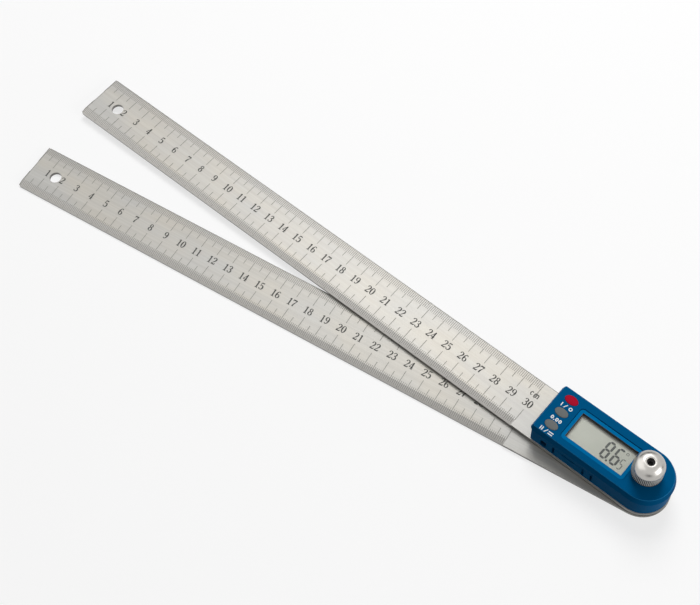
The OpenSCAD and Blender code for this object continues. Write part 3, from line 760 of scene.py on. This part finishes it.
def build_button(node, y, finish):
    """A domed cap that stands for a CAD button."""
    low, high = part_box(node)
    bm = bmesh.new()
    centre = (button_x, y)
    top = high.z
    count = 48
    lines = []
    # The cap's rings: their share of its outline, and how far under its top they lie in millimetres
    for share, drop in ((0.35, 0.02), (0.65, 0.06), (0.85, 0.11), (0.94, 0.16), (0.985, 0.25), (1.0, 0.4)):
        lines.append((oval(button_length * share, button_width * share, centre, count), top - drop * MM))
    flange_bottom = 16.9 * MM
    flange_top = 17.8 * MM
    flange_rim = 0.6 * MM
    cap_line = oval(button_length, button_width, centre, count)
    flange_line = oval(button_length + flange_rim, button_width + flange_rim, centre, count)
    stem_line = circle(1.2 * MM, centre, count)
    lines += [(cap_line, flange_top), (flange_line, flange_top), (flange_line, flange_bottom),
              (stem_line, flange_bottom), (stem_line, low.z)]
    loops = [[bm.verts.new((px, py, level)) for px, py in line] for line, level in lines]
    join_loops(bm, loops)
    crown = bm.verts.new((*centre, top))
    for i in range(count):
        bm.faces.new((crown, loops[0][(i + 1) % count], loops[0][i]))
    bm.faces.new(loops[-1])
    piece = new_piece(f"{node}_cap", bm, node.split("_")[0], finishes[finish], 40)
    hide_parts(node)


build_button("power_button", button_row + button_pitch, "red_rubber")
build_button("zero_button", button_row, "grey_rubber")
build_button("hold_button", button_row - button_pitch, "grey_rubber")


def bar(bm, x, y, width, height, lean=0.0):
    """A plain printed bar with its middle at (x, y)."""
    outline = [(x + sx * width / 2 + sy * height / 2 * lean, y + sy * height / 2)
               for sx, sy in ((-1, -1), (1, -1), (1, 1), (-1, 1))]
    add_prism(bm, outline, cover_top, cover_top + mark_depth)


def ring(bm, x, y, wide, high, stroke):
    outer = oval(wide, high, (x, y), 24)
    inner = oval(wide - 2 * stroke, high - 2 * stroke, (x, y), 24)
    add_ring_prism(bm, outer, inner, cover_top, cover_top + mark_depth)


bm = bmesh.new()
mark_high = 2.0 * MM
pen = 0.5 * MM
slash_lean = 0.6
# Power: bar, slash and ring
row_y = 4.2 * MM
bar(bm, button_x - 2.6 * MM, row_y, pen, mark_high)
bar(bm, button_x - 0.4 * MM, row_y, pen, mark_high, slash_lean)
ring(bm, button_x + 2.4 * MM, row_y, mark_high, mark_high, pen)
# Zero: a nought, a point at the foot of the row, and two more noughts
row_y = -4.0 * MM
for step in (-2.1, 0.5, 2.3):
    ring(bm, button_x + step * MM, row_y, 1.5 * MM, mark_high, pen)
bar(bm, button_x - 0.8 * MM, row_y - (mark_high - pen) / 2, pen, pen)
# Hold: two bars, slash and two level lines
row_y = -11.6 * MM
for step in (-3.2, -2.2):
    bar(bm, button_x + step * MM, row_y, pen, mark_high)
bar(bm, button_x - 0.2 * MM, row_y, pen, mark_high, slash_lean)
for step in (-0.55, 0.55):
    bar(bm, button_x + 2.4 * MM, row_y + step * MM, 2.6 * MM, pen)
new_piece("button_marks", bm, "base", finishes["label_ink"])


# Clamp knob: a smooth dome with an eye, and a knurled band

bm = bmesh.new()
bore = 2.55 * MM
eye = 1.8 * MM
eye_floor = 2.2 * MM
crown = 2.4 * MM
foot_chamfer = 0.12 * MM
foot_height = 0.25 * MM
rib_count = 54
rib_width = 0.44 * MM
rib_depth = 0.6 * MM
rib_low = 0.35 * MM
rib_high = grip_height - 0.3 * MM
band_radius = grip_radius - 0.45 * MM
profile = [(bore, 0), (knob_radius - foot_chamfer, 0),
           (knob_radius, foot_chamfer), (knob_radius, foot_height),
           (band_radius, rib_low), (band_radius, rib_high),
           (grip_radius - 0.06 * MM, rib_high + 0.15 * MM), (grip_radius, grip_height)]
dome_rise = knob_height - grip_height
dome_reach = grip_radius - crown
dome_steps = 20
for i in range(1, dome_steps + 1):
    a = math.pi / 2 * i / dome_steps
    profile.append((crown + dome_reach * math.cos(a), grip_height + dome_rise * math.sin(a)))
profile += [(eye + 0.35 * MM, knob_height - 0.06 * MM), (eye + 0.12 * MM, knob_height - 0.2 * MM),
            (eye, knob_height - 0.5 * MM), (eye, knob_height - eye_floor),
            (bore, knob_height - eye_floor - 0.01 * MM)]
profile = [(r, z + collar_top) for r, z in profile]
add_lathe(bm, profile, 128)
knob = new_piece("knob_dome", bm, "knob", finishes["polished"], 35)
# Everything lower than the top of the ribs gets painted shade, a dark finish, so that they stand out from
# it
knob.data.materials.append(finishes["groove"])
for face in knob.data.polygons:
    if face.center.z < collar_top + rib_high:
        face.material_index = 1
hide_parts("clamp_knob")


def knurl_tree():
    """Ribs that stand upright round a circle."""
    tree, ids = new_tree("knurl", ("Radius", "Rib Width", "Rib Depth", "Rib Height"), ("Ribs",))
    given = tree.nodes.new("NodeGroupInput").outputs
    link = tree.links.new
    circle_line = tree.nodes.new("GeometryNodeMeshCircle")
    link(given["Ribs"], circle_line.inputs["Vertices"])
    link(given["Radius"], circle_line.inputs["Radius"])
    rib = tree.nodes.new("GeometryNodeMeshCylinder")
    rib.inputs["Vertices"].default_value = 8
    rib.inputs["Radius"].default_value = 0.5
    rib.inputs["Depth"].default_value = 1
    place = tree.nodes.new("GeometryNodeInputPosition")
    facing = tree.nodes.new("FunctionNodeAlignRotationToVector")
    facing.axis = "X"
    facing.pivot_axis = "Z"
    link(place.outputs["Position"], facing.inputs["Vector"])
    size = tree.nodes.new("ShaderNodeCombineXYZ")
    link(given["Rib Depth"], size.inputs["X"])
    link(given["Rib Width"], size.inputs["Y"])
    link(given["Rib Height"], size.inputs["Z"])
    copies = tree.nodes.new("GeometryNodeInstanceOnPoints")
    link(circle_line.outputs["Mesh"], copies.inputs["Points"])
    link(rib.outputs["Mesh"], copies.inputs["Instance"])
    link(facing.outputs["Rotation"], copies.inputs["Rotation"])
    link(size.outputs["Vector"], copies.inputs["Scale"])
    finish_tree(tree, copies, given["Material"])
    return tree, ids


knurl, knurl_ids = knurl_tree()
mesh = run_tree("knob_knurl", knurl, {
    knurl_ids["Ribs"]: rib_count, knurl_ids["Radius"]: grip_radius - rib_depth / 2,
    knurl_ids["Rib Width"]: rib_width, knurl_ids["Rib Depth"]: rib_depth,
    knurl_ids["Rib Height"]: rib_high - rib_low, knurl_ids["Material"]: finishes["knurled"]})
mesh.transform(Matrix.Translation((0, 0, collar_top + (rib_low + rib_high) / 2)))
place_mesh("knob_knurl", mesh, 0.0, "knob")


# Floor, light and camera

def seen_directly(tree):
    """1 for the rays that show a surface itself or its mirror image, and 0 for those that light others."""
    path = tree.nodes.new("ShaderNodeLightPath")
    seen = path.outputs["Is Camera Ray"]
    for other in ("Is Glossy Ray", "Is Transmission Ray"):
        seen = tree_maths(tree, "MAXIMUM", seen, path.outputs[other])
    return seen


floor_mesh = bpy.data.meshes.new("studio_floor")
reach = 6
floor_mesh.from_pydata([(-reach, -reach, 0), (reach, -reach, 0), (reach, reach, 0), (-reach, reach, 0)], [],
                       [(0, 1, 2, 3)])
floor = bpy.data.objects.new("studio_floor", floor_mesh)
bpy.context.scene.collection.objects.link(floor)
paper = plain("studio_paper", (0.3, 0.3, 0.3), 0.9, specular=0.0)
floor_mesh.materials.append(paper)
paper_glow = 0.7
glow = maths(paper, "MULTIPLY", seen_directly(paper.node_tree), paper_glow)
shader_input(paper, "Emission Color").default_value = (1, 1, 1, 1)
join(paper, glow, shader_input(paper, "Emission Strength"))

world = bpy.data.worlds.new("studio")
bpy.context.scene.world = world
world.use_nodes = True
tree = world.node_tree
background = tree.nodes["Background"]
background.inputs["Color"].default_value = (1, 1, 1, 1)
strength = tree.nodes.new("ShaderNodeMapRange")
strength.inputs["To Min"].default_value = 0.2
strength.inputs["To Max"].default_value = 1.0
tree.links.new(seen_directly(tree), strength.inputs["Value"])
tree.links.new(strength.outputs["Result"], background.inputs["Strength"])


def stand(holder, place, target, roll=0.0):
    """Puts a lamp or camera at a place, facing a target and turned about its own axis by roll."""
    aim = (Vector(target) - Vector(place)).to_track_quat("-Z", "Y").to_matrix().to_4x4()
    bpy.context.scene.collection.objects.link(holder)
    holder.matrix_world = Matrix.Translation(place) @ aim @ Matrix.Rotation(roll, 4, "Z")


def softbox(name, place, target, size, power):
    """A lamp that faces a target; its size is in metres and its power in watts."""
    lamp = bpy.data.lights.new(name, "AREA")
    lamp.shape = "RECTANGLE"
    lamp.size, lamp.size_y = size
    lamp.energy = power
    holder = bpy.data.objects.new(name, lamp)
    stand(holder, place, target)
    return holder


# The key gives the shadows; a weaker lamp before it and a broad one on the left are for the metal
middle = (-0.05, 0, 0)
softbox("key_light", (-0.50, 0.62, 1.02), middle, (0.6, 0.6), 10.5).visible_glossy = False
softbox("sheen_light", (-0.48, 0.60, 0.98), middle, (0.6, 0.6), 3.8).visible_diffuse = False
softbox("left_light", (-0.88, -0.42, 0.76), middle, (1.5, 1.5), 6).visible_diffuse = False
softbox("right_light", (1.1, 0.15, 0.45), (0, 0, 0), (0.8, 0.8), 7)

# Dark screens low round the table, seen only in reflections, as the corners of a studio are
dark = plain("studio_dark", (0.02, 0.02, 0.02), 0.9, specular=0.0)
screen_far = 2
screen_high = 0.6
screen_steps = 12
# Each screen's name, and where it starts and ends, in degrees round the table
for label, start, end in (("back", 100, 165), ("front", -75, -40), ("right", 15, 45)):
    turns = [math.radians(start + (end - start) * i / screen_steps) for i in range(screen_steps + 1)]
    line = [(screen_far * math.cos(a), screen_far * math.sin(a)) for a in turns]
    count = len(line)
    mesh = bpy.data.meshes.new(f"studio_screen_{label}")
    mesh.from_pydata([(x, y, z) for z in (0, screen_high) for x, y in line], [],
                     [(i, i + 1, count + i + 1, count + i) for i in range(screen_steps)])
    mesh.materials.append(dark)
    screen = bpy.data.objects.new(mesh.name, mesh)
    bpy.context.scene.collection.objects.link(screen)
    screen.visible_camera = screen.visible_diffuse = False
    screen.visible_shadow = screen.visible_transmission = False

lens = bpy.data.cameras.new("photo_view")
lens.sensor_width = 36
lens.lens = 68.42
camera = bpy.data.objects.new("photo_view", lens)
camera_place = (0.06416, -0.23755, 0.59865)
camera_target = (-0.17164, -0.01001, 0)
camera_roll = math.radians(-6.262)
stand(camera, camera_place, camera_target, camera_roll)
bpy.context.scene.camera = camera

view = bpy.context.scene.view_settings
view.view_transform = "Standard"
